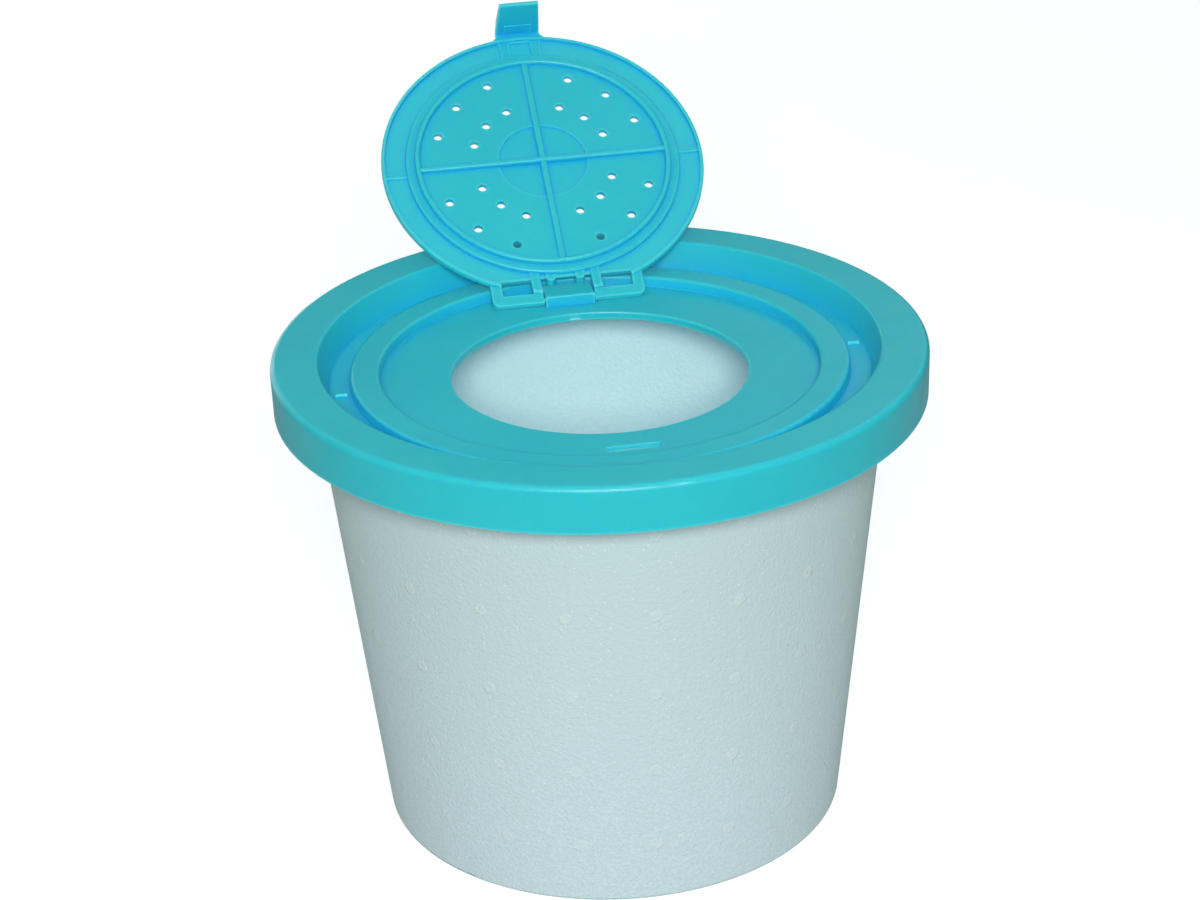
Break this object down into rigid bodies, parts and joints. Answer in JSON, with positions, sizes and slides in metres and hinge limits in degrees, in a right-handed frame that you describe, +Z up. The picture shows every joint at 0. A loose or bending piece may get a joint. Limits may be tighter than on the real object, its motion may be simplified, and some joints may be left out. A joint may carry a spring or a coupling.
{
  "type": "insulated bait bucket",
  "caption": "Tapered foam bucket with a moulded press-on lid, a round hand hole and a hinged, vented hatch with a snap hook.",
  "frame": {"origin": "on the bucket's axis, at the face it stands on", "axes": "+Z up along the bucket's axis, +Y towards the hatch's hinge at the back, -Y towards the latch slot at the front, +X to the right seen from the front"},
  "size_m": [0.28, 0.3488, 0.3063],
  "materials": {
    "foam": "moulded bead foam, matte",
    "lid_plastic": "satin moulded plastic",
    "hatch_plastic": "satin moulded plastic"
  },
  "bodies": {
    "bucket": {"foam_bucket": "foam"},
    "lid_body": {"lid": "lid_plastic"},
    "hatch_body": {"hatch": "hatch_plastic"}
  },
  "joints": [
    {"name": "lid_lift", "type": "slide", "parent": "bucket", "child": "lid_body", "axis": [0, 0, 1], "range_m": [0, 0.06]},
    {"name": "hatch_hinge", "type": "hinge", "parent": "lid_body", "child": "hatch_body", "pos_m": [0, 0.0764, 0.2054], "axis": [1, 0, 0], "range_deg": [0, 147.7]}
  ]
}
